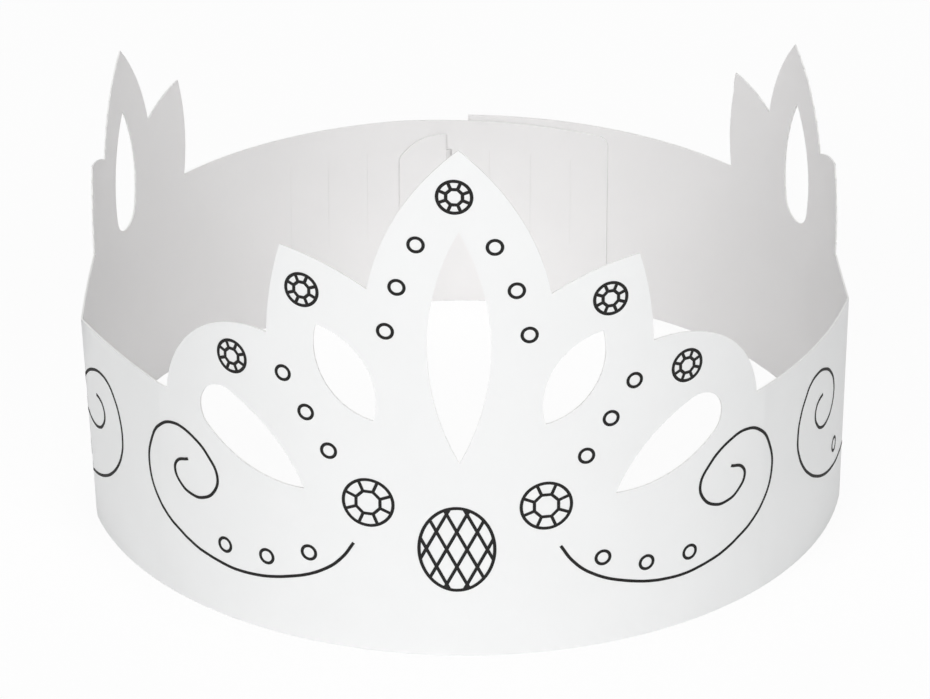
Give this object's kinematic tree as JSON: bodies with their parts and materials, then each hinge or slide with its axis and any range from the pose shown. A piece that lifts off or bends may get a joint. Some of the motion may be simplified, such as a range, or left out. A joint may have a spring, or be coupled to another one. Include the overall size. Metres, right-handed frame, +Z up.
{
  "type": "paper crown",
  "caption": "Tiara-style crown cut from white card, with pierced leaf-shaped petals and black line ornament, bent into a ring and held at the back by a tongue in a slit.",
  "frame": {"origin": "middle of the ring in plan, at the lower edge of the band, where the crown stands", "axes": "+Z up through the ring; the front, with the tallest petal, faces -Y; +X is to the right of someone facing the crown"},
  "size_m": [0.1828, 0.186, 0.1272],
  "materials": {
    "card": "matte white card"
  },
  "bodies": {
    "root": {"crown_card": "card"}
  },
  "joints": []
}
